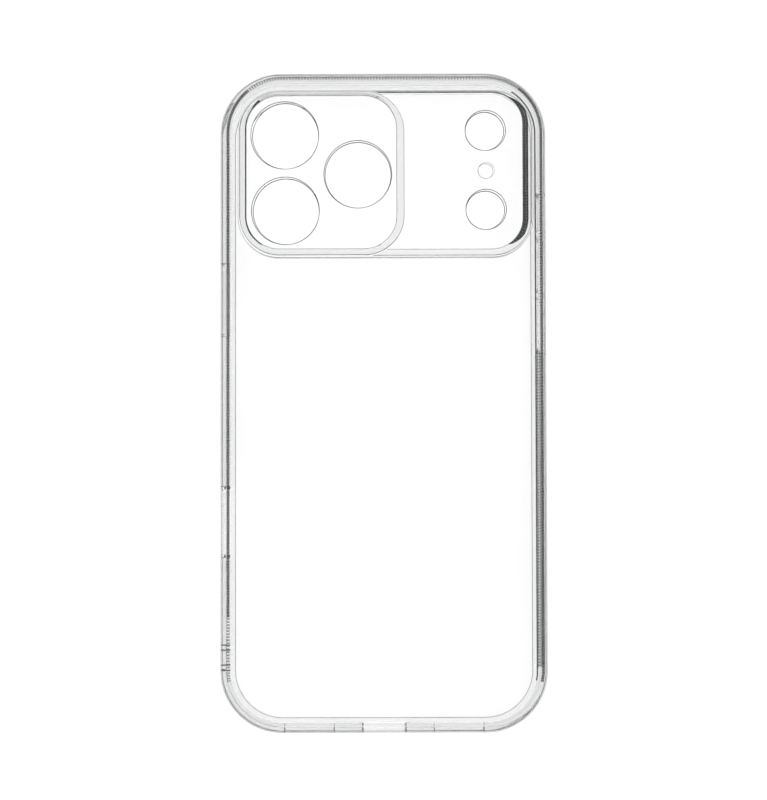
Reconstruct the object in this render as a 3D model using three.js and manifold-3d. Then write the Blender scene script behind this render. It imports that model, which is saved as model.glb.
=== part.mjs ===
// Clear protective case for a large phone: a soft bumper frame around a hard back plate, with a
// raised camera deck, two guard rims and four button covers, each on its own flexible web.
// Millimetres. The screen side is down at z = 0, the back is up, and the camera end is towards +Y.

import * as THREE from "three";
import * as BufferGeometryUtils from "three/addons/utils/BufferGeometryUtils.js";
import Module from "manifold-3d";

const wasm = await Module();
wasm.setup();

// ---- the phone that the case fits ---------------------------------------------------------------
const PHONE_WIDTH = 78.0;
const PHONE_LENGTH = 163.4;
const PHONE_DEPTH = 8.75;
const PHONE_CORNER = 13.0;
const FIT = 0.15;

// ---- bumper frame -------------------------------------------------------------------------------
const WALL = 2.45;
const LIP_OVERLAP = 0.8;
const LIP_HEIGHT = 1.2;
const BACK_THICKNESS = 1.3;
const EDGE_ROUND = 0.9;
const REBATE_INSET = 1.2;
const SEAM = 0.1;

const CASE = {
  x: 0,
  y: 0,
  width: PHONE_WIDTH + 2 * (FIT + WALL),
  length: PHONE_LENGTH + 2 * (FIT + WALL),
  corner: PHONE_CORNER + FIT + WALL,
};
const POCKET_TOP = LIP_HEIGHT + FIT + PHONE_DEPTH;
const BACK_TOP = POCKET_TOP + BACK_THICKNESS;
const MID_HEIGHT = LIP_HEIGHT + (FIT + PHONE_DEPTH) / 2;

// ---- camera deck and its rims -------------------------------------------------------------------
const DECK = { x: 0.65, y: 58.15, width: 75.5, length: 42.9, corner: 10.4 };
const DECK_WALL = 1.2;
const DECK_HOLLOW = { x: 0.35, y: 58.65, width: 71.3, length: 40.5, corner: 8.2 };
const DECK_TOP = BACK_TOP + 2.5;
const DECK_ROUND = 0.35;
const BAR_WINDOW = { x: 7.8, y: 58.75, width: 55.7, length: 40.1, corner: 8.0 };
const BAR_RIM_TOP = DECK_TOP + 1.1;
const TRIO = { x: -15.6, y: 58.15, width: 42.1, length: 42.0, corner: 10.2 };
const TRIO_WINDOW = { x: -15.7, y: 58.4, width: 38.3, length: 39.2, corner: 8.4 };
const TRIO_RIM_TOP = DECK_TOP + 1.6;
const RIM_ROUND = 0.2;
const RIM_GAP = 0.3;

const LENS_RADIUS = 8.45;
const LAMP_RADIUS = 4.95;
const MIC_RADIUS = 1.95;
const HOLE_CHAMFER = 0.3;
const DECK_HOLES = [
  { x: -25.0, y: 67.95, radius: LENS_RADIUS },
  { x: -24.85, y: 48.55, radius: LENS_RADIUS },
  { x: -6.4, y: 57.9, radius: LENS_RADIUS },
  { x: 26.1, y: 69.1, radius: LAMP_RADIUS },
  { x: 26.3, y: 58.85, radius: MIC_RADIUS },
  { x: 26.25, y: 48.8, radius: LAMP_RADIUS },
];

// ---- button covers and their webs ---------------------------------------------------------------
const LEFT = -1;
const RIGHT = 1;
const COVER_HEIGHT = 3.6;
const COVER_CORNER = 1.4;
const COVER_DEPTH = 2.2;
const COVER_ROUND = 0.35;
const WINDOW_GAP = 0.7;
const WEB_CLEARANCE = 0.1;
const WEB_FROM = 1.5;
const WEB_TO = 2.0;
const COVERS = [
  { name: "side_button", side: LEFT, y: 26.3, length: 17.6 },
  { name: "action_button", side: RIGHT, y: 48.4, length: 8.8 },
  { name: "volume_up", side: RIGHT, y: 35.0, length: 13.2 },
  { name: "volume_down", side: RIGHT, y: 19.6, length: 13.2 },
];

// ---- openings in the bumper's walls -------------------------------------------------------------
const KEY_SLOT = { y: -30.7, length: 18.2, height: 4.6 };
const KEY_FLARE = 2.0;
const KEY_FLARE_DEPTH = 1.3;
const GRIP = { y: -52.0, length: 18.0, height: 4.6, corner: 1.0, depth: 0.4 };
const CORD_HOLES = [-62.8, -67.9];
const CORD_HOLE_RADIUS = 0.9;
const CORD_GROOVE_DEPTH = 1.0;
const PORT = { x: 0, width: 11.4, height: 5.8 };
const PORT_FLARE = 1.0;
const PORT_FLARE_DEPTH = 1.1;
const SOUND_SLOT = { width: 13.0, height: 3.0 };
const SOUND_SLOTS = [-19.1, 19.1];

// ---- fineness -----------------------------------------------------------------------------------
const ARC_STEPS = 5;
const BEVEL_STEPS = 3;
const HOLE_STEPS = 48;
const OVERCUT = 2;

// ---- solids -------------------------------------------------------------------------------------
function solid(geometry) {
  const bare = geometry.clone();
  bare.deleteAttribute("normal");
  bare.deleteAttribute("uv");
  const merged = BufferGeometryUtils.mergeVertices(bare);
  return new wasm.Manifold(
    new wasm.Mesh({
      numProp: 3,
      vertProperties: merged.attributes.position.array,
      triVerts: merged.index.array,
    }),
  );
}

function cut(body, ...tools) {
  return tools.reduce((left, tool) => left.subtract(tool), body);
}

function roundedRect(width, height, radius) {
  const x = width / 2 - radius;
  const y = height / 2 - radius;
  const quarter = Math.PI / 2;
  const shape = new THREE.Shape();
  shape.absarc(x, y, radius, 0, quarter);
  shape.absarc(-x, y, radius, quarter, 2 * quarter);
  shape.absarc(-x, -y, radius, 2 * quarter, 3 * quarter);
  shape.absarc(x, -y, radius, 3 * quarter, 4 * quarter);
  return shape;
}

// A prism from z = 0 to z = depth, with both ends rounded inwards by round.
function prism(shape, depth, round = 0) {
  return new THREE.ExtrudeGeometry(shape, {
    depth: depth - 2 * round,
    curveSegments: ARC_STEPS,
    bevelEnabled: round > 0,
    bevelThickness: round,
    bevelSize: round,
    bevelOffset: -round,
    bevelSegments: BEVEL_STEPS,
  }).translate(0, 0, round);
}

// A prism that is the given shape at z = depth and spreads by flare to z = 0, then runs on below it.
function funnel(shape, depth, flare) {
  return new THREE.ExtrudeGeometry(shape, {
    depth: OVERCUT,
    curveSegments: ARC_STEPS,
    bevelThickness: depth,
    bevelSize: flare,
    bevelSegments: 1,
  }).translate(0, 0, -OVERCUT);
}

// A flat slab with the outline of place, drawn in by inset, between two heights.
function slab(place, inset, bottom, top, round = 0) {
  const shape = roundedRect(place.width - 2 * inset, place.length - 2 * inset, place.corner - inset);
  return solid(prism(shape, top - bottom, round).translate(place.x, place.y, bottom));
}

// Turns a geometry whose z is the depth below the outer face, so that it goes into a side wall.
function intoSide(geometry, side, y) {
  geometry.translate(0, 0, -CASE.width / 2);
  return solid(geometry.rotateY((-side * Math.PI) / 2).translate(0, y, MID_HEIGHT));
}

// The same for the wall at the foot of the case.
function intoFoot(geometry, x) {
  geometry.translate(0, 0, -CASE.length / 2);
  return solid(geometry.rotateX(-Math.PI / 2).translate(x, 0, MID_HEIGHT));
}

function throughSide(side, y, length, height, corner) {
  const geometry = prism(roundedRect(height, length, corner), WALL + 2 * OVERCUT);
  return intoSide(geometry.translate(0, 0, -OVERCUT), side, y);
}

function throughFoot(x, width, height) {
  const geometry = prism(roundedRect(width, height, stadium(height)), WALL + 2 * OVERCUT);
  return intoFoot(geometry.translate(0, 0, -OVERCUT), x);
}

function stadium(height) {
  return 0.49 * height;
}

// ---- bumper frame -------------------------------------------------------------------------------
function buttonWindow({ side, y, length }) {
  const gap = WINDOW_GAP;
  return throughSide(side, y, length + 2 * gap, COVER_HEIGHT + 2 * gap, COVER_CORNER + gap);
}

function keyScoop() {
  const { y, length, height } = KEY_SLOT;
  const shape = roundedRect(height, length, stadium(height));
  return [
    throughSide(LEFT, y, length, height, stadium(height)),
    intoSide(funnel(shape, KEY_FLARE_DEPTH, KEY_FLARE), LEFT, y),
  ];
}

function gripRecess() {
  const shape = roundedRect(GRIP.height, GRIP.length, GRIP.corner);
  const geometry = prism(shape, GRIP.depth + OVERCUT).translate(0, 0, -OVERCUT);
  return intoSide(geometry, LEFT, GRIP.y);
}

function cordHoles() {
  const [near, far] = CORD_HOLES;
  const width = 2 * CORD_HOLE_RADIUS;
  const groove = prism(roundedRect(width, near - far + width, stadium(width)), CORD_GROOVE_DEPTH + OVERCUT);
  return [
    ...CORD_HOLES.map((y) => throughSide(LEFT, y, width, width, stadium(width))),
    intoSide(groove.translate(0, 0, WALL - CORD_GROOVE_DEPTH), LEFT, (near + far) / 2),
  ];
}

function footOpenings() {
  const shape = roundedRect(PORT.width, PORT.height, stadium(PORT.height));
  return [
    throughFoot(PORT.x, PORT.width, PORT.height),
    intoFoot(funnel(shape, PORT_FLARE_DEPTH, PORT_FLARE), PORT.x),
    ...SOUND_SLOTS.map((x) => throughFoot(x, SOUND_SLOT.width, SOUND_SLOT.height)),
  ];
}

function bumperFrame() {
  return cut(
    slab(CASE, 0, 0, BACK_TOP, EDGE_ROUND),
    slab(CASE, WALL + FIT + LIP_OVERLAP, -OVERCUT, LIP_HEIGHT + OVERCUT),
    slab(CASE, WALL, LIP_HEIGHT, BACK_TOP + OVERCUT),
    slab(CASE, REBATE_INSET, POCKET_TOP, BACK_TOP + OVERCUT),
    ...COVERS.map(buttonWindow),
    ...keyScoop(),
    gripRecess(),
    ...cordHoles(),
    ...footOpenings(),
  );
}

// ---- back plate, camera deck and rims -----------------------------------------------------------
function backPlate() {
  return cut(
    slab(CASE, REBATE_INSET + SEAM, POCKET_TOP, BACK_TOP),
    slab(DECK, -SEAM, POCKET_TOP - OVERCUT, BACK_TOP + OVERCUT),
  );
}

function deckHole({ x, y, radius }) {
  const depth = DECK_WALL + 2 * OVERCUT;
  const bore = new THREE.CylinderGeometry(radius, radius, depth, HOLE_STEPS);
  const mouth = new THREE.CylinderGeometry(
    radius + 2 * HOLE_CHAMFER,
    radius,
    2 * HOLE_CHAMFER,
    HOLE_STEPS,
  );
  return [bore, mouth].map((tool) => solid(tool.rotateX(Math.PI / 2).translate(x, y, DECK_TOP)));
}

function cameraDeck() {
  return cut(
    slab(DECK, 0, POCKET_TOP, DECK_TOP, DECK_ROUND),
    slab(DECK_HOLLOW, 0, POCKET_TOP - OVERCUT, DECK_TOP - DECK_WALL),
    ...DECK_HOLES.flatMap(deckHole),
  );
}

function rim(place, inset, view, top) {
  return cut(
    slab(place, inset, DECK_TOP, top, RIM_ROUND),
    slab(view, 0, DECK_TOP - OVERCUT, top + OVERCUT),
  );
}

// The deck's own rim ends where it meets the rim around the lenses.
function cameraBarRim() {
  const lensSide = new THREE.BoxGeometry(DECK.width, CASE.length, BACK_TOP * 2);
  lensSide.translate(TRIO.x - DECK.width / 2, DECK.y, DECK_TOP);
  return cut(
    rim(DECK, DECK_ROUND, BAR_WINDOW, BAR_RIM_TOP),
    slab(TRIO, -RIM_GAP, DECK_TOP - OVERCUT, BAR_RIM_TOP + OVERCUT),
    solid(lensSide),
  );
}

function lensTrioRim() {
  return rim(TRIO, 0, TRIO_WINDOW, TRIO_RIM_TOP);
}

// ---- button covers ------------------------------------------------------------------------------
function buttonCover({ side, y, length }) {
  const shape = roundedRect(COVER_HEIGHT, length, COVER_CORNER);
  return intoSide(prism(shape, COVER_DEPTH, COVER_ROUND), side, y);
}

function buttonWeb({ side, y, length }) {
  const ring = (gap, from, to) => {
    const shape = roundedRect(COVER_HEIGHT + 2 * gap, length + 2 * gap, COVER_CORNER + gap);
    return intoSide(prism(shape, to - from).translate(0, 0, from), side, y);
  };
  return cut(
    ring(WINDOW_GAP - WEB_CLEARANCE, WEB_FROM, WEB_TO),
    ring(WEB_CLEARANCE, WEB_FROM - OVERCUT, WEB_TO + OVERCUT),
  );
}

// ---- the case -----------------------------------------------------------------------------------
const CLEAR_SOFT = { color: 0xe9ebec, roughness: 0.14, metalness: 0, transparent: true, opacity: 0.35 };
const CLEAR_HARD = { color: 0xf6f8f8, roughness: 0.04, metalness: 0, transparent: true, opacity: 0.18 };

function add(group, name, manifold, finish) {
  const mesh = manifold.getMesh();
  const geometry = new THREE.BufferGeometry();
  geometry.setAttribute("position", new THREE.BufferAttribute(mesh.vertProperties, 3));
  geometry.setIndex(new THREE.BufferAttribute(mesh.triVerts, 1));
  geometry.computeVertexNormals();
  const part = new THREE.Mesh(geometry, new THREE.MeshStandardMaterial(finish));
  part.name = name;
  group.add(part);
}

const phoneCase = new THREE.Group();
add(phoneCase, "bumper_frame", bumperFrame(), CLEAR_SOFT);
add(phoneCase, "back_plate", backPlate(), CLEAR_HARD);
add(phoneCase, "camera_deck", cameraDeck(), CLEAR_HARD);
add(phoneCase, "camera_bar_rim", cameraBarRim(), CLEAR_HARD);
add(phoneCase, "lens_trio_rim", lensTrioRim(), CLEAR_HARD);
for (const cover of COVERS) {
  add(phoneCase, `${cover.name}_cover`, buttonCover(cover), CLEAR_SOFT);
  add(phoneCase, `${cover.name}_web`, buttonWeb(cover), CLEAR_SOFT);
}

export default phoneCase;
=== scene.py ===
import math

import bmesh
import bpy
import numpy as np
from mathutils import Matrix, Vector


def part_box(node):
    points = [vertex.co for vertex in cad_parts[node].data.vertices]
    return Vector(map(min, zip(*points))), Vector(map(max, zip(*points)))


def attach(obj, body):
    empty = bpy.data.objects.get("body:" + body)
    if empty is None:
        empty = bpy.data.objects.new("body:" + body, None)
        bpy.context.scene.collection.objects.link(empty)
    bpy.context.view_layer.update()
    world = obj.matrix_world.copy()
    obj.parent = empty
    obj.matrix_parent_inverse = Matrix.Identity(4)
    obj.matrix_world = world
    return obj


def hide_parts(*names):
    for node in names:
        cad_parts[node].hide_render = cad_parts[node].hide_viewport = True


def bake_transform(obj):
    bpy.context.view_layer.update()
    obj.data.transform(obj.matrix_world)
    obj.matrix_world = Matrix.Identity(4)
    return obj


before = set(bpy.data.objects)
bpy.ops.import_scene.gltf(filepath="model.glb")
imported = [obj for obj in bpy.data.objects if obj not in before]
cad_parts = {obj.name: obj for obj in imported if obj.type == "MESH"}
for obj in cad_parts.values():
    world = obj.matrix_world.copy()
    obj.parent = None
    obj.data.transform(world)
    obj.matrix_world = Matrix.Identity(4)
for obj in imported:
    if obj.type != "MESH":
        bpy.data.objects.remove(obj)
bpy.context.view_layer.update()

# Looks of a clear phone case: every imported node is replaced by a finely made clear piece.
# Metres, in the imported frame: screen lip on z = 0, back up, camera end towards +Y.

MM = 0.001

# ---- sizes, most of them the same as in the solids ----------------------------------------------
CASE_CORNER = 15.6 * MM
WALL = 2.45 * MM
LIP_INSET = 3.4 * MM
LIP_HEIGHT = 1.2 * MM
EDGE_ROUND = 0.9 * MM
BACK_EDGE_ROUND = 0.45 * MM
# Steps of the back edge's round in dark glass: painted shade lines.
BACK_EDGE_LINES = (0, 3, 4, 5)
REBATE_INSET = 1.0 * MM
REBATE_REACH = 0.2 * MM
REBATE_DEPTH = 0.01 * MM
SEAM = 0.1 * MM
PLATE_SHIFT = 0.4 * MM
DECK_CORNER = 10.4 * MM
TRIO_CORNER = 10.2 * MM
DECK_WALL = 1.2 * MM
DECK_ROUND = 0.35 * MM
# Middle x and y, width, length and corner radius, in millimetres.
DECK_HOLLOW = (0.35, 59.0, 71.3, 39.8, 8.2)
BAR_WINDOW = (7.8, 58.75, 55.7, 40.1, 8.0)
TRIO_WINDOW = (-15.7, 58.4, 38.3, 39.2, 8.4)
RIM_ROUND = 0.12 * MM
RIM_GAP = 0.3 * MM
COVER_CORNER = 1.4 * MM
COVER_ROUND = 0.35 * MM
WINDOW_GAP = 0.7 * MM
WEB_WALL_DEPTH = 2.0 * MM
WEB_COVER_DEPTH = 1.5 * MM
WEB_THICKNESS = 0.3 * MM
WEB_CLEARANCE = 0.1 * MM
MOUTH_ROUND = 0.1 * MM
CRISP_ROUND = 0.02 * MM
INNER_ROUND = 0.12 * MM
LIP_ROUND = 0.3 * MM
POCKET_ROUND = 0.08 * MM
PLATE_BREAK = 0.1 * MM
CONTACT = 0.02 * MM
OVERCUT = 2 * MM

LENS_RADIUS = 8.35 * MM
LAMP_RADIUS = 4.85 * MM
MIC_RADIUS = 1.9 * MM
DECK_HOLES = (
    (-25.0, 67.95, LENS_RADIUS),
    (-24.85, 48.55, LENS_RADIUS),
    (-6.4, 57.9, LENS_RADIUS),
    (26.1, 69.1, LAMP_RADIUS),
    (26.3, 58.85, MIC_RADIUS),
    (26.25, 48.8, LAMP_RADIUS),
)
HOLE_SINK = 0.4 * MM
HOLE_LINE = 0.16 * MM
HOLE_SPREAD = 0.004  # sideways skew of a countersink, as a share of its distance from the middle
HOLE_SKEW = 0.1 * MM
HOLE_STEPS = 160
SINK_LIMIT = 0.1
LINE_LIMIT = 0.4

KEY_SLOT_Y = -30.7 * MM
KEY_SLOT_SIZE = (18.2 * MM, 4.6 * MM)
KEY_SLOT_CORNER = 1.2 * MM
KEY_FLARE = 2.0 * MM
KEY_FLARE_DEPTH = 1.3 * MM
GRIP_Y = -52.0 * MM
GRIP_SIZE = (18.0 * MM, 4.6 * MM)
GRIP_CORNER = 1.0 * MM
GRIP_DEPTH = 0.4 * MM
CORD_HOLES = (-62.8 * MM, -67.9 * MM)
CORD_RADIUS = 0.9 * MM
CORD_CORNER = 0.49 * 2 * CORD_RADIUS
CORD_MOUTH = 0.08 * MM
PORT_SIZE = (11.4 * MM, 5.8 * MM)
PORT_CORNER = 0.6 * MM
PORT_FLARE = 1.0 * MM
PORT_FLARE_DEPTH = 1.1 * MM
SOUND_SIZE = (13.0 * MM, 3.0 * MM)
SOUND_CORNER = 0.4 * MM
SOUND_SLOTS = (-19.1 * MM, 19.1 * MM)

# ---- fine detail --------------------------------------------------------------------------------
RIB_PITCH = 0.77 * MM
TOOTH_LENGTH = 0.6 * MM
TOOTH_DEPTH = 0.12 * MM
TOOTH_WAVE = 0.15 * MM
GROOVE_INSET = 2.4 * MM
GROOVE_WIDTH = 0.17 * MM
GROOVE_DEPTH = 0.06 * MM
EDGE_WIDTH = 0.25 * MM
# Sides of a window with painted shade hatching: the way each side faces, and how much wider its
# underside gets.
BAR_HATCHES = ((1, 0, 1.25 * MM), (0, 1, 0.15 * MM))
TRIO_HATCHES = ((0, 1, 0.7 * MM), (-1, 0, 0.15 * MM))
HATCH_ROWS = 4
UNDER_HEIGHT = 0.2 * MM
SIDE_START = 0.55
SIDE_FULL = 0.9
FOOT_FACING = 0.2
FLANK_FACING = 0.6
WINDOW_CORNER = 0.2 * MM
# Where the painted dotted shade strip runs, and the height below which the painted shade on the left
# teeth is paler.
DOT_STRIP = (-68.0 * MM, 12.5 * MM)
PALER_BELOW = -55.0 * MM
ROUND_STEPS = 6
SMALL_STEPS = 3
SMOOTH_ANGLE = math.radians(38)
MERGE_DISTANCE = 0.0005 * MM
LEVEL_TOLERANCE = 0.001 * MM

# ---- spacing of points along curves and flats ---------------------------------------------------
CURVE_PITCH = 0.4 * MM
FLAT_PITCH = 20 * MM
WALL_PITCH = 0.3 * MM
CORD_PITCH = 0.15 * MM
COVER_PITCH = 0.2 * MM
COVER_FLAT_PITCH = 0.6 * MM


# ---- places -------------------------------------------------------------------------------------
class Place:
    """A round-cornered outline: its middle, half sizes and corner radius."""

    def __init__(self, low, high, corner):
        self.x = (low[0] + high[0]) / 2
        self.y = (low[1] + high[1]) / 2
        self.half_x = (high[0] - low[0]) / 2
        self.half_y = (high[1] - low[1]) / 2
        self.corner = corner


def place_of(node, corner):
    low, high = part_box(node)
    return Place(low, high, corner)


def place_at(x, y, width, length, corner):
    """A place in millimetres: its middle, size and corner radius."""
    low = ((x - width / 2) * MM, (y - length / 2) * MM)
    high = ((x + width / 2) * MM, (y + length / 2) * MM)
    return Place(low, high, corner * MM)


def opening(middle, size, corner):
    """A place in a wall's own plane: along the wall, and up."""
    along, up = size[0] / 2, size[1] / 2
    return Place((middle - along, MID_HEIGHT - up), (middle + along, MID_HEIGHT + up), corner)


CASE = place_of("bumper_frame", CASE_CORNER)
DECK = place_of("camera_deck", DECK_CORNER)
TRIO = place_of("lens_trio_rim", TRIO_CORNER)
POCKET_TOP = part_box("back_plate")[0].z
PLATE_FOOT = POCKET_TOP + CONTACT
BACK_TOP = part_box("back_plate")[1].z
DECK_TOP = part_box("camera_deck")[1].z
BAR_RIM_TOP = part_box("camera_bar_rim")[1].z
TRIO_RIM_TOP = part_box("lens_trio_rim")[1].z
COVER_BOXES = {
    name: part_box(f"{name}_cover")
    for name in ("side_button", "action_button", "volume_up", "volume_down")
}
MID_HEIGHT = sum(corner.z for corner in COVER_BOXES["side_button"]) / 2


def side_of(name):
    """The wall a button is in: 1 for the right, -1 for the left."""
    return 1 if COVER_BOXES[name][0].x > 0 else -1


# ---- where the painted shade shows --------------------------------------------------------------
# A finish takes an outline's points and inward normals, and gives each face's material slot.
# The second and third slots hold glass tinted dark and grey: painted shade standing in for the dark
# lines that refraction draws at edges.
PLAIN, PAINTED_DARK, PAINTED_GREY = range(3)


# Painted shade: a whole row in dark glass.
def dark_line(points, inward):
    return np.full(len(points), PAINTED_DARK)


def teeth(inward, run=2):
    """0 and 1 in turn, a run of points each, along an outline."""
    return np.arange(len(inward)) // run % 2


def side_share(inward, side_x, side_y):
    """How far each point faces the given side, from 0 to 1."""
    outward = -(inward[:, 0] * side_x + inward[:, 1] * side_y)
    return np.clip((outward - SIDE_START) / (SIDE_FULL - SIDE_START), 0, 1)


def facing(inward, side_x, side_y):
    return side_share(inward, side_x, side_y) > 0


def near_foot(inward):
    """The foot and its two corners, where the marks of both sides end."""
    return inward[:, 1] > FOOT_FACING


# Painted shade: dark glass on every side but the foot.
def dark_off_foot(points, inward):
    return np.where(near_foot(inward), PLAIN, PAINTED_DARK)


def teeth_shade(points, inward):
    """Painted shade on the plate's teeth: dark teeth and paler gaps in turn on both sides, all paler
    at the top and low on the left.
    """
    right_or_high = (inward[:, 0] < 0) | (points[:, 1] > PALER_BELOW)
    flank = (np.abs(inward[:, 0]) > FLANK_FACING) & right_or_high
    teeth_finish = np.where(flank, PAINTED_DARK, PAINTED_GREY)
    gap_finish = np.where(flank, PAINTED_GREY, PLAIN)
    dots = np.where(teeth(inward) == 1, teeth_finish, gap_finish)
    return np.where(near_foot(inward), PLAIN, dots)


# Painted shade: dark glass only on the side facing right.
def dark_on_right(points, inward):
    return np.where(facing(inward, 1, 0) & ~near_foot(inward), PAINTED_DARK, PLAIN)


def on_dot_strip(points, inward):
    """Where the strip of painted shade dots under the plate's right edge shows."""
    low, high = DOT_STRIP
    return facing(inward, 1, 0) & (points[:, 1] > low) & (points[:, 1] < high)


def grey_band(points, inward):
    return np.where(on_dot_strip(points, inward), PAINTED_GREY, PLAIN)


def dark_dots(points, inward):
    return np.where(on_dot_strip(points, inward) & (teeth(inward, 1) == 1), PAINTED_DARK, grey_band(points, inward))


def grey_dashes(points, inward):
    return np.where(on_dot_strip(points, inward) & (teeth(inward, 1) == 1), PAINTED_GREY, PLAIN)


# Rows of the painted shade strip: dark and grey glass dots and dashes, and a grey band.
DOT_ROWS = (dark_dots, grey_dashes, grey_band, grey_dashes)


# Painted shade: dark glass on the window's right and camera-end sides.
def bar_dark_edge(points, inward):
    return np.where(facing(inward, 1, 0) | facing(inward, 0, 1), PAINTED_DARK, PLAIN)


# Painted shade hatching: grey glass on every other face of the right side.
def bar_shade_hatch(points, inward):
    gaps = facing(inward, 1, 0) & (teeth(inward, 1) == 1)
    return np.where(gaps, PAINTED_GREY, bar_dark_edge(points, inward))


# Painted shade: dark glass on the window's left side.
def trio_dark_edge(points, inward):
    return np.where(facing(inward, -1, 0), PAINTED_DARK, PLAIN)


# Painted shade hatching: grey glass on every other face of the camera-end side.
def trio_shade_hatch(points, inward):
    gaps = facing(inward, 0, 1) & (teeth(inward, 1) == 1)
    return np.where(gaps, PAINTED_GREY, trio_dark_edge(points, inward))


# ---- outlines, profiles and meshes --------------------------------------------------------------
def even_steps(length, pitch):
    """The even number of steps nearest to the pitch, and at least two."""
    return max(2, 2 * round(length / pitch / 2))


def outline(place, pitch, flat_pitch=None):
    """Points round a place, anticlockwise, and the inward normal at each."""
    points, inward = [], []
    quarter = math.pi / 2
    flats = (place.half_x - place.corner, place.half_y - place.corner)
    for turn, (side_x, side_y) in enumerate(((1, 1), (-1, 1), (-1, -1), (1, -1))):
        middle = np.array([place.x + side_x * flats[0], place.y + side_y * flats[1]])
        steps = even_steps(quarter * place.corner, pitch)
        for step in range(steps):
            angle = quarter * (turn + step / steps)
            outward = np.array([math.cos(angle), math.sin(angle)])
            points.append(middle + place.corner * outward)
            inward.append(-outward)
        angle = quarter * (turn + 1)
        outward = np.array([math.cos(angle), math.sin(angle)])
        along = np.array([-outward[1], outward[0]])
        length = 2 * flats[turn % 2]
        steps = even_steps(length, flat_pitch or pitch)
        for step in range(steps):
            points.append(middle + place.corner * outward + along * length * step / steps)
            inward.append(-outward)
    return np.array(points), np.array(inward)


def rounded(corners):
    """A profile through corners given as (inset, height, radius, steps, dark line steps).

    Each corner is rounded. Returns the profile's points and the finish of its rows painted with dark
    shade lines."""
    profile, rows = [], {}
    last = len(corners) - 1
    for index, (inset, height, radius, steps, dark_steps) in enumerate(corners):
        here = Vector((inset, height))
        before = Vector(corners[index - 1][:2])
        after = Vector(corners[0 if index == last else index + 1][:2])
        start = here + radius * (before - here).normalized()
        end = here + radius * (after - here).normalized()
        first = len(profile)
        for step in range(steps + 1):
            t = step / steps
            profile.append(tuple((1 - t) ** 2 * start + 2 * t * (1 - t) * here + t * t * end))
        for step in dark_steps:
            rows[first + step] = dark_line
    return profile, rows


def ring(points, inward, inset, height, shift=0.0):
    """One loop of a swept piece, with each point moved further in by shift."""
    flat = points + inward * (inset + shift * np.ones(len(points)))[:, None]
    return np.column_stack([flat, np.full(len(points), height)])


def loft(name, loops, closed, rows_slots=None):
    """A mesh through loops of equal length, closed on itself or capped at both ends.

    rows_slots gives some rows' material slots, face by face. All else is plain."""
    rows_slots = rows_slots or {}
    count = len(loops[0])
    rows = len(loops)
    faces, slots = [], []
    for row in range(rows if closed else rows - 1):
        here, there = row * count, (row + 1) % rows * count
        for i in range(count):
            j = (i + 1) % count
            faces.append((here + i, here + j, there + j, there + i))
        slots += list(rows_slots.get(row, [PLAIN] * count))
    if not closed:
        faces.append(tuple(range(count))[::-1])
        faces.append(tuple(range((rows - 1) * count, rows * count)))
        slots += [PLAIN, PLAIN]
    mesh = bpy.data.meshes.new(name)
    mesh.from_pydata([tuple(v) for v in np.concatenate(loops)], [], faces)
    for _ in (PLAIN, PAINTED_DARK, PAINTED_GREY):
        mesh.materials.append(None)
    mesh.polygons.foreach_set("material_index", slots)
    made = bmesh.new()
    made.from_mesh(mesh)
    bmesh.ops.recalc_face_normals(made, faces=made.faces)
    made.to_mesh(mesh)
    made.free()
    piece = bpy.data.objects.new(name, mesh)
    bpy.context.scene.collection.objects.link(piece)
    return piece


def no_shift(inset, height, inward):
    return 0.0


def swept(name, place, profile, pitch, flat_pitch=None, shift=no_shift, rows=None, closed=True):
    """A profile swept round a place. rows gives the finish of some of its rows."""
    points, inward = outline(place, pitch, flat_pitch)
    loops = [ring(points, inward, inset, z, shift(inset, z, inward)) for inset, z in profile]
    rows_slots = {row: finish(points, inward).astype(int) for row, finish in (rows or {}).items()}
    return loft(name, loops, closed, rows_slots)


def slab(name, place, profile, pitch, flat_pitch=None, shift=no_shift, rows=None):
    """A plate: profile runs from its bottom face's edge to its top face's edge."""
    return swept(name, place, profile, pitch, flat_pitch, shift, rows, closed=False)


def prism(name, place, inset, low, high):
    """A plain upright cutter."""
    return slab(name, place, [(inset, low), (inset, high)], CURVE_PITCH, FLAT_PITCH)


# ---- work on a finished mesh --------------------------------------------------------------------
def cut(piece, *tools):
    """Cuts the tools out of a piece, and removes them."""
    for tool in tools:
        modifier = piece.modifiers.new("cut", "BOOLEAN")
        modifier.operation = "DIFFERENCE"
        modifier.solver = "MANIFOLD"
        modifier.material_mode = "INDEX"
        modifier.object = tool
    bake(piece)
    for tool in tools:
        bpy.data.objects.remove(tool)
    return piece


def bake(piece):
    """Applies a piece's modifiers to its mesh."""
    bpy.context.view_layer.update()
    evaluated = piece.evaluated_get(bpy.context.evaluated_depsgraph_get())
    mesh = bpy.data.meshes.new_from_object(evaluated)
    piece.modifiers.clear()
    old = piece.data
    piece.data = mesh
    bpy.data.meshes.remove(old)


def smooth(piece):
    """Smooth rounds, flat flats and crisp corners."""
    made = bmesh.new()
    made.from_mesh(piece.data)
    bmesh.ops.remove_doubles(made, verts=made.verts, dist=MERGE_DISTANCE)
    bmesh.ops.dissolve_degenerate(made, edges=made.edges, dist=MERGE_DISTANCE)
    made.to_mesh(piece.data)
    made.free()
    piece.data.polygons.foreach_set("use_smooth", [True] * len(piece.data.polygons))
    piece.data.set_sharp_from_angle(angle=SMOOTH_ANGLE)
    weighted = piece.modifiers.new("flat_faces", "WEIGHTED_NORMAL")
    weighted.keep_sharp = True
    weighted.weight = 100


def paint(piece, finishes):
    """Gives a piece its plain finish and its dark and grey painted shade finishes."""
    for index, finish in enumerate(finishes):
        piece.data.materials[index] = finish


def finish_piece(piece, body, slot, finishes, *nodes):
    """Smooths and paints a piece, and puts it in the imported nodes' place."""
    smooth(piece)
    paint(piece, finishes)
    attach(piece, body)
    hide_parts(*nodes)
    return piece


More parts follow.
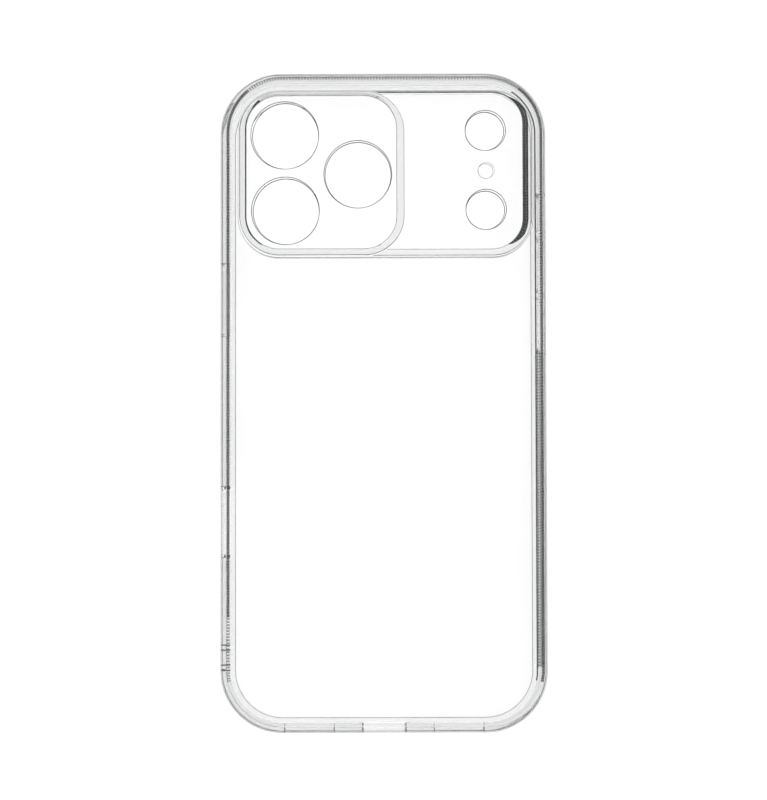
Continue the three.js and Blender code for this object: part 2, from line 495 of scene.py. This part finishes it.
# ---- shapes in the walls ------------------------------------------------------------------------
def into_side(side):
    """Turns (along, up, depth) into a point of the left (-1) or right (1) wall."""
    return lambda along, up, depth: (side * (CASE.half_x - depth), along, up)


def into_foot(along, up, depth):
    return (along, -(CASE.half_y - depth), up)


def wall_loft(name, place, stations, where, pitch=WALL_PITCH, flat_pitch=None, closed=False):
    """A mesh across a wall, as wide as the place grown by each station's amount at its depth."""
    points, inward = outline(place, pitch, flat_pitch)
    loops = []
    for depth, grow in stations:
        flat = points - inward * grow
        loops.append(np.array([where(along, up, depth) for along, up in flat]))
    return loft(name, loops, closed)


def mouth_stations(outer, inner, flare_depth=None):
    """Depths and growths of a hole through the wall, with rounded outer and inner mouths."""
    depth_of = flare_depth or outer
    stations = [(-OVERCUT, outer)]
    for step in range(ROUND_STEPS + 1):
        t = step / ROUND_STEPS
        stations.append((depth_of * t, outer * (1 - math.sqrt(1 - (1 - t) ** 2))))
    for step in range(ROUND_STEPS + 1):
        t = step / ROUND_STEPS
        stations.append((WALL - inner * (1 - t), inner * (1 - math.sqrt(1 - t**2))))
    stations.append((WALL + OVERCUT, inner))
    return stations


# ---- bumper frame -------------------------------------------------------------------------------
def bumper_profile():
    """The bumper's section: outer foot, screen lip, pocket wall, rebate for the plate, back edge."""
    small = SMALL_STEPS
    # The last column lists the steps of each round in dark glass: painted shade lines on the lip's
    # inner round and on the back edge.
    return rounded(
        (
            (0.0, 0.0, EDGE_ROUND, ROUND_STEPS, ()),
            (LIP_INSET - EDGE_WIDTH, 0.0, CRISP_ROUND, 1, ()),
            (LIP_INSET, EDGE_WIDTH, CRISP_ROUND, 1, ()),
            (LIP_INSET, LIP_HEIGHT, INNER_ROUND, small, range(small)),
            (WALL, LIP_HEIGHT, LIP_ROUND, small, ()),
            (WALL, POCKET_TOP, POCKET_ROUND, small, ()),
            (REBATE_INSET, POCKET_TOP, INNER_ROUND, small, ()),
            (REBATE_INSET, BACK_TOP, INNER_ROUND, small, ()),
            (0.0, BACK_TOP, BACK_EDGE_ROUND, ROUND_STEPS, BACK_EDGE_LINES),
        )
    )


def dot_rows(profile, rows):
    """Splits the floor under the plate's edge into rows of painted shade dots, and moves the later
    rows up.
    """
    level = [abs(height - POCKET_TOP) < LEVEL_TOLERANCE for _, height in profile]
    first = next(row for row in range(len(profile)) if level[row] and level[row + 1])
    start, end = profile[first][0], profile[first + 1][0]
    count = len(DOT_ROWS)
    extra = [(start + (end - start) * step / count, POCKET_TOP) for step in range(1, count)]
    moved = {row if row < first else row + count - 1: finish for row, finish in rows.items()}
    moved.update({first + step: finish for step, finish in enumerate(DOT_ROWS)})
    return profile[: first + 1] + extra + profile[first + 1 :], moved


def plate_shift(inward):
    """The plate sits a little towards the camera end and the right."""
    return PLATE_SHIFT * (inward[:, 0] + inward[:, 1])


def rebate_shift(inset, height, inward):
    """Moves the rebate with the plate, and leaves the rest of the bumper."""
    on_rebate = abs(inset - REBATE_INSET) < REBATE_REACH and height > POCKET_TOP - REBATE_DEPTH
    return plate_shift(inward) if on_rebate else 0.0


def button_windows():
    """The four windows that the button covers move in."""
    tools = []
    for name, (low, high) in COVER_BOXES.items():
        size = (high.y - low.y + 2 * WINDOW_GAP, high.z - low.z + 2 * WINDOW_GAP)
        place = opening((low.y + high.y) / 2, size, WINDOW_CORNER)
        stations = mouth_stations(MOUTH_ROUND, MOUTH_ROUND)
        tools.append(wall_loft(f"{name}_window", place, stations, into_side(side_of(name))))
    return tools


def left_openings():
    """The camera key's slot, the shallow grip under it and the two cord holes."""
    left = into_side(-1)
    key_place = opening(KEY_SLOT_Y, KEY_SLOT_SIZE, KEY_SLOT_CORNER)
    key_stations = mouth_stations(KEY_FLARE, MOUTH_ROUND, KEY_FLARE_DEPTH)
    grip_place = opening(GRIP_Y, GRIP_SIZE, GRIP_CORNER)
    grip_stations = [(-OVERCUT, MOUTH_ROUND), (0.0, MOUTH_ROUND), (GRIP_DEPTH, 0.0)]
    tools = [
        wall_loft("key", key_place, key_stations, left),
        wall_loft("grip", grip_place, grip_stations, left),
    ]
    for y in CORD_HOLES:
        hole = opening(y, (2 * CORD_RADIUS, 2 * CORD_RADIUS), CORD_CORNER)
        stations = mouth_stations(CORD_MOUTH, CORD_MOUTH)
        tools.append(wall_loft("cord", hole, stations, left, CORD_PITCH))
    return tools


def foot_openings():
    """The charging port and the two sound slots."""
    port_place = opening(0.0, PORT_SIZE, PORT_CORNER)
    port_stations = mouth_stations(PORT_FLARE, MOUTH_ROUND, PORT_FLARE_DEPTH)
    tools = [wall_loft("port", port_place, port_stations, into_foot)]
    for x in SOUND_SLOTS:
        slot = opening(x, SOUND_SIZE, SOUND_CORNER)
        tools.append(wall_loft("sound", slot, mouth_stations(MOUTH_ROUND, MOUTH_ROUND), into_foot))
    return tools


def bumper_frame(material):
    """The soft bumper with all its openings."""
    profile, rows = dot_rows(*bumper_profile())
    piece = swept("bumper_frame_look", CASE, profile, RIB_PITCH / 2, shift=rebate_shift, rows=rows)
    cut(piece, *button_windows(), *left_openings(), *foot_openings())
    return finish_piece(piece, "case", "soft_clear", material, "bumper_frame")


# ---- back plate, camera deck and rims -----------------------------------------------------------
def plate_teeth(inset, height, inward):
    """Fine teeth round the plate's lower edge, where the soft bumper grips it."""
    if inset > GROOVE_INSET - CONTACT:
        return 0.0
    if abs(height - PLATE_FOOT) < CONTACT:
        return plate_shift(inward) + TOOTH_WAVE * teeth(inward)
    return plate_shift(inward)


def back_plate(material):
    """The clear plate: a fine groove and a toothed edge underneath, and a break on top, with painted
    dark and grey shade lines on them.
    """
    edge = REBATE_INSET + SEAM
    profile = [
        (GROOVE_INSET + 2 * GROOVE_WIDTH, PLATE_FOOT),
        (GROOVE_INSET + GROOVE_WIDTH, PLATE_FOOT + GROOVE_DEPTH),
        (GROOVE_INSET, PLATE_FOOT),
        (edge + TOOTH_LENGTH, PLATE_FOOT),
        (edge, PLATE_FOOT + TOOTH_DEPTH),
        (edge, BACK_TOP - PLATE_BREAK),
        (edge + CRISP_ROUND, BACK_TOP - CRISP_ROUND),
        (edge + PLATE_BREAK, BACK_TOP),
    ]
    rows = {0: dark_on_right, 1: dark_on_right, 3: teeth_shade, 5: dark_off_foot, 6: dark_off_foot}
    piece = slab("back_plate_look", CASE, profile, RIB_PITCH / 4, shift=plate_teeth, rows=rows)
    cut(piece, prism("deck_hole", DECK, -SEAM, POCKET_TOP - OVERCUT, BACK_TOP + OVERCUT))
    return finish_piece(piece, "case", "hard_clear", material, "back_plate")


def hole_cutter(x, y, radius):
    """A round hole through the deck's top, with a painted dark shade line at the edge above and below
    its skewed countersink.
    """
    sink = min(HOLE_SINK, SINK_LIMIT * radius)
    line = min(HOLE_LINE, LINE_LIMIT * sink)
    stations = (
        (radius, DECK_TOP - DECK_WALL - OVERCUT, -1),
        (radius, DECK_TOP - sink, -1),
        (radius + line, DECK_TOP - sink + line, -1),
        (radius + sink - line, DECK_TOP - line, 1),
        (radius + sink, DECK_TOP, 1),
        (radius + sink, DECK_TOP + OVERCUT, 1),
    )
    angles = np.linspace(0, 2 * math.pi, HOLE_STEPS, endpoint=False)
    circle = np.column_stack([np.cos(angles), np.sin(angles), np.zeros(HOLE_STEPS)])
    skew = np.array([HOLE_SPREAD * x * MM, HOLE_SKEW, 0.0])
    loops = [circle * reach + skew * way + (x * MM, y * MM, z) for reach, z, way in stations]
    edge = [PAINTED_DARK] * HOLE_STEPS
    return loft("hole", loops, False, {1: edge, 3: edge})


def shoulder(inset, top, radius):
    """The rounded upper corner of a wall's profile, from its side to its top."""
    profile = []
    for step in range(ROUND_STEPS + 1):
        angle = math.pi / 2 * step / ROUND_STEPS
        profile.append((inset + radius * (1 - math.cos(angle)), top - radius * (1 - math.sin(angle))))
    return profile


def camera_deck(material):
    """The raised deck, hollow underneath, with its six round holes."""
    foot = [(EDGE_WIDTH, PLATE_FOOT), (0.0, PLATE_FOOT + EDGE_WIDTH)]
    profile = foot + shoulder(0.0, DECK_TOP, DECK_ROUND)
    # Painted shade: dark glass lines on the deck's rounded top edge.
    rows = {2: dark_line, 3: dark_line, 4: dark_line}
    piece = slab("camera_deck_look", DECK, profile, CURVE_PITCH, FLAT_PITCH, rows=rows)
    hollow_place = place_at(*DECK_HOLLOW)
    hollow = prism("hollow", hollow_place, 0.0, POCKET_TOP - OVERCUT, DECK_TOP - DECK_WALL)
    cut(piece, hollow, *(hole_cutter(*hole) for hole in DECK_HOLES))
    return finish_piece(piece, "case", "hard_clear", material, "camera_deck")


def rim_block(name, place, outer, top):
    """A rim before its window is cut: its lower edge broken and its upper edge rounded, with painted
    dark shade lines on the round.
    """
    bottom = DECK_TOP + CONTACT
    foot = [(outer + RIM_ROUND, bottom), (outer, bottom + RIM_ROUND)]
    profile = foot + shoulder(outer, top, RIM_ROUND)
    rows = {row: dark_line for row in range(2, 2 + ROUND_STEPS)}
    return slab(name, place, profile, CURVE_PITCH, FLAT_PITCH, rows=rows)


def rim_window(place, top, hatches, finishes):
    """A rim's window cutter. Its lower edge is broken, and wider on the sides in hatches. Its rounded
    top edge gets painted dark shade lines, and its hatch rows get painted dark and grey shade.
    """
    bottom = DECK_TOP + CONTACT
    profile = [(-EDGE_WIDTH, bottom - OVERCUT)]
    for step in range(HATCH_ROWS + 1):
        t = step / HATCH_ROWS
        profile.append((-EDGE_WIDTH * (1 - t), bottom + UNDER_HEIGHT * t))
    first_round = len(profile)
    for inset, z in shoulder(0.0, top, RIM_ROUND):
        profile.append((-inset, z))
    profile.append((-RIM_ROUND, top + OVERCUT))
    rows = {row: dark_line for row in range(first_round, first_round + ROUND_STEPS)}
    rows.update({1 + row: finishes[row % 2] for row in range(HATCH_ROWS)})

    def spread(inset, z, inward):
        share = max(0.0, min(1.0, 1 - (z - bottom) / UNDER_HEIGHT))
        return -share * sum(width * side_share(inward, x, y) for x, y, width in hatches)

    return slab("window", place, profile, RIB_PITCH / 2, shift=spread, rows=rows)


def camera_bar_rim(material):
    """The bar rim, left open where the lens trio's rim stands."""
    piece = rim_block("camera_bar_rim_look", DECK, DECK_ROUND, BAR_RIM_TOP)
    window = rim_window(place_at(*BAR_WINDOW), BAR_RIM_TOP, BAR_HATCHES, (bar_dark_edge, bar_shade_hatch))
    low, high = DECK_TOP - OVERCUT, BAR_RIM_TOP + OVERCUT
    trio = prism("trio", TRIO, -RIM_GAP, low, high)
    half_length = DECK.half_y + OVERCUT
    left = Place((-CASE.half_x, DECK.y - half_length), (TRIO.x, DECK.y + half_length), MM)
    lens_side = prism("lens_side", left, 0.0, low, high)
    cut(piece, window, trio, lens_side)
    return finish_piece(piece, "case", "hard_clear", material, "camera_bar_rim")


def lens_trio_rim(material):
    """The taller rim round the three lens holes."""
    piece = rim_block("lens_trio_rim_look", TRIO, 0.0, TRIO_RIM_TOP)
    cut(piece, rim_window(place_at(*TRIO_WINDOW), TRIO_RIM_TOP, TRIO_HATCHES, (trio_dark_edge, trio_shade_hatch)))
    return finish_piece(piece, "case", "hard_clear", material, "lens_trio_rim")


# ---- button covers and webs ---------------------------------------------------------------------
def cover_loft(name, piece_name, stations, closed):
    """A mesh that follows a button cover's outline through its wall."""
    low, high = COVER_BOXES[name]
    place = Place((low.y, low.z), (high.y, high.z), COVER_CORNER)
    where = into_side(side_of(name))
    return wall_loft(piece_name, place, stations, where, COVER_PITCH, COVER_FLAT_PITCH, closed)


def button_cover(name, material):
    """A cover with rounded edges, as deep as its packed box."""
    low, high = COVER_BOXES[name]
    depth = high.x - low.x
    front = []
    for step in range(ROUND_STEPS + 1):
        angle = math.pi / 2 * step / ROUND_STEPS
        front.append((COVER_ROUND * (1 - math.sin(angle)), -COVER_ROUND * (1 - math.cos(angle))))
    back = [(depth - near, grow) for near, grow in front]
    piece = cover_loft(name, f"{name}_cover_look", sorted(front) + sorted(back), closed=False)
    return finish_piece(piece, name, "soft_clear", material, f"{name}_cover")


def button_web(name, material):
    """A thin ring that joins a cover to the case."""
    far = WINDOW_GAP - WEB_CLEARANCE
    rise = WEB_WALL_DEPTH - WEB_THICKNESS - WEB_COVER_DEPTH
    front, back = [], []
    for step in range(ROUND_STEPS + 1):
        t = step / ROUND_STEPS
        ease = t * t * (3 - 2 * t)
        gap = WEB_CLEARANCE + (far - WEB_CLEARANCE) * t
        depth = WEB_COVER_DEPTH + rise * ease
        front.append((depth, gap))
        back.append((depth + WEB_THICKNESS, gap))
    piece = cover_loft(name, f"{name}_web_look", front + back[::-1], closed=True)
    smooth(piece)
    paint(piece, material)
    bake(piece)
    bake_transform(piece)
    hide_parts(f"{name}_web")
    return piece


# ---- materials ----------------------------------------------------------------------------------
WAVE_SCALE = 90
WAVE_HEIGHT = 0.04 * MM
WEAR_SCALE = 700
SOFT_TINT = (0.5, 0.51, 0.52)
HARD_TINT = (0.5, 0.52, 0.53)
SOFT_IOR = 1.49
HARD_IOR = 1.5
SOFT_DENSITY = 47
HARD_DENSITY = 14
# Painted shade: the rims' plastic absorbs far more than the rest of the hard plastic, so that they
# read grey.
RIM_SHADE_DENSITY = 170
SOFT_WAVE = 0.15
HARD_WAVE = 0.1


def clear_plastic(name, ior, roughness, tint, density, wave, colour):
    """Clear plastic: faint moulding waves, and a body that darkens long paths of light."""
    material = bpy.data.materials.new(name)
    material.use_nodes = True
    nodes = material.node_tree.nodes
    link = material.node_tree.links.new
    shader = nodes["Principled BSDF"]
    output = nodes["Material Output"]
    # A colour below 1 tints the glass: these are the painted shade materials.
    shader.inputs["Base Color"].default_value = (colour, colour, colour, 1)
    shader.inputs["Transmission Weight"].default_value = 1.0
    shader.inputs["IOR"].default_value = ior
    where = nodes.new("ShaderNodeTexCoord")
    flow = nodes.new("ShaderNodeTexNoise")
    flow.inputs["Scale"].default_value = WAVE_SCALE
    flow.inputs["Detail"].default_value = 2
    link(where.outputs["Object"], flow.inputs["Vector"])
    bump = nodes.new("ShaderNodeBump")
    bump.inputs["Strength"].default_value = wave
    bump.inputs["Distance"].default_value = WAVE_HEIGHT
    link(flow.outputs["Fac"], bump.inputs["Height"])
    link(bump.outputs["Normal"], shader.inputs["Normal"])
    wear = nodes.new("ShaderNodeTexNoise")
    wear.inputs["Scale"].default_value = WEAR_SCALE
    wear.inputs["Detail"].default_value = 5
    link(where.outputs["Object"], wear.inputs["Vector"])
    rough = nodes.new("ShaderNodeMapRange")
    rough.inputs["To Min"].default_value = roughness * 0.6
    rough.inputs["To Max"].default_value = roughness * 1.4
    link(wear.outputs["Fac"], rough.inputs["Value"])
    link(rough.outputs["Result"], shader.inputs["Roughness"])
    pass_light(material)
    body = nodes.new("ShaderNodeVolumeAbsorption")
    body.inputs["Color"].default_value = (*tint, 1)
    body.inputs["Density"].default_value = density
    link(body.outputs["Volume"], output.inputs["Volume"])
    return material


def soft_plastic(name, roughness, colour=1.0):
    return clear_plastic(name, SOFT_IOR, roughness, SOFT_TINT, SOFT_DENSITY, SOFT_WAVE, colour)


def hard_plastic(name, roughness, density=HARD_DENSITY, colour=1.0):
    return clear_plastic(name, HARD_IOR, roughness, HARD_TINT, density, HARD_WAVE, colour)


def pass_light(material):
    """Lets light reach what is behind the plastic, so that it casts no hard shadow."""
    nodes = material.node_tree.nodes
    link = material.node_tree.links.new
    path = nodes.new("ShaderNodeLightPath")
    either = nodes.new("ShaderNodeMath")
    either.operation = "MAXIMUM"
    clear = nodes.new("ShaderNodeBsdfTransparent")
    mix = nodes.new("ShaderNodeMixShader")
    link(path.outputs["Is Shadow Ray"], either.inputs[0])
    link(path.outputs["Is Diffuse Ray"], either.inputs[1])
    link(either.outputs["Value"], mix.inputs["Fac"])
    link(nodes["Principled BSDF"].outputs["BSDF"], mix.inputs[1])
    link(clear.outputs["BSDF"], mix.inputs[2])
    link(mix.outputs["Shader"], nodes["Material Output"].inputs["Surface"])


def floor_material():
    material = bpy.data.materials.new("pale_floor")
    material.use_nodes = True
    nodes = material.node_tree.nodes
    link = material.node_tree.links.new
    shader = nodes["Principled BSDF"]
    shader.inputs["Roughness"].default_value = 0.9
    shader.inputs["Specular IOR Level"].default_value = 0.0
    where = nodes.new("ShaderNodeTexCoord")
    grain = nodes.new("ShaderNodeTexNoise")
    grain.inputs["Scale"].default_value = 40
    link(where.outputs["Object"], grain.inputs["Vector"])
    ramp = nodes.new("ShaderNodeValToRGB")
    ramp.color_ramp.elements[0].color = (0.86, 0.86, 0.86, 1)
    ramp.color_ramp.elements[1].color = (0.9, 0.9, 0.9, 1)
    link(grain.outputs["Fac"], ramp.inputs["Fac"])
    link(ramp.outputs["Color"], shader.inputs["Base Color"])
    return material


# ---- stage --------------------------------------------------------------------------------------
FLOOR_SIZE = 12.0
FLOOR_DROP = 0.05 * MM
STUDIO_STRENGTH = 1.82
STUDIO_TONES = ((0.05, 0.04), (0.4, 0.04), (0.62, 1.0), (0.96, 1.0), (0.985, 0.2))
CAMERA_ELEVATION = math.radians(87)
CAMERA_DISTANCE = 0.8
CAMERA_TARGET = Vector((0.0, 0.0005, 0.008))
CAMERA_ROLL = math.radians(0.14)
CAMERA_LENS = 140.3
CLEAR_BOUNCES = 24


def make_floor():
    bpy.ops.mesh.primitive_plane_add(size=FLOOR_SIZE, location=(0, 0, -FLOOR_DROP))
    floor = bpy.context.object
    floor.name = "floor"
    floor.data.materials.append(floor_material())


def make_world():
    """A soft studio: a bright sky above, dark near the horizon, with a dimmer spot overhead."""
    world = bpy.data.worlds.new("studio")
    bpy.context.scene.world = world
    world.use_nodes = True
    nodes = world.node_tree.nodes
    link = world.node_tree.links.new
    background = nodes["Background"]
    where = nodes.new("ShaderNodeTexCoord")
    split = nodes.new("ShaderNodeSeparateXYZ")
    ramp = nodes.new("ShaderNodeValToRGB")
    ramp.color_ramp.interpolation = "EASE"
    low, high = ramp.color_ramp.elements
    low.position, low.color = 0.0, (0.35, 0.35, 0.35, 1)
    high.position, high.color = 1.0, (0.2, 0.2, 0.2, 1)
    for position, tone in STUDIO_TONES:
        step = ramp.color_ramp.elements.new(position)
        step.color = (tone, tone, tone, 1)
    link(where.outputs["Generated"], split.inputs["Vector"])
    link(split.outputs["Z"], ramp.inputs["Fac"])
    link(ramp.outputs["Color"], background.inputs["Color"])
    background.inputs["Strength"].default_value = STUDIO_STRENGTH


def make_camera():
    data = bpy.data.cameras.new("camera")
    data.lens = CAMERA_LENS
    data.clip_start, data.clip_end = 0.01, 50
    camera = bpy.data.objects.new("camera", data)
    bpy.context.scene.collection.objects.link(camera)
    back = Vector((0, -math.cos(CAMERA_ELEVATION), math.sin(CAMERA_ELEVATION)))
    camera.location = CAMERA_TARGET + back * CAMERA_DISTANCE
    turn = (-back).to_track_quat("-Z", "Y").to_matrix().to_4x4()
    turn = turn @ Matrix.Rotation(-CAMERA_ROLL, 4, "Z")
    camera.rotation_mode = "QUATERNION"
    camera.rotation_quaternion = turn.to_quaternion()
    bpy.context.scene.camera = camera


def set_look():
    scene = bpy.context.scene
    scene.view_settings.view_transform = "Standard"
    scene.cycles.max_bounces = CLEAR_BOUNCES
    scene.cycles.transmission_bounces = CLEAR_BOUNCES
    scene.cycles.glossy_bounces = 12
    scene.cycles.diffuse_bounces = 1


# ---- the scene ----------------------------------------------------------------------------------
make_camera()
make_world()
make_floor()
set_look()

# In each set, the second and third materials are glass tinted near black and grey: painted shade for
# the lines at edges, the dots and the hatches.
soft = (
    soft_plastic("soft_clear", roughness=0.05),
    soft_plastic("soft_painted_dark", roughness=0.1, colour=0.06),
    soft_plastic("soft_painted_grey", roughness=0.1, colour=0.5),
)
hard_dark = hard_plastic("hard_painted_dark", roughness=0.08, colour=0.001)
hard_painted_grey = hard_plastic("hard_painted_grey", roughness=0.08, colour=0.15)
hard = (hard_plastic("hard_clear", roughness=0.01), hard_dark, hard_painted_grey)
rim_painted_grey = hard_plastic("rim_painted_grey", roughness=0.08, colour=0.6)
# The rims' plain material is a darker copy of the hard plastic: painted shade.
rims = (hard_plastic("rim_shaded_clear", roughness=0.01, density=RIM_SHADE_DENSITY), hard_dark, rim_painted_grey)

bumper_frame(soft)
back_plate(hard)
camera_deck(hard)
camera_bar_rim(rims)
lens_trio_rim(rims)
for cover_name in COVER_BOXES:
    button_cover(cover_name, soft)
    button_web(cover_name, soft)
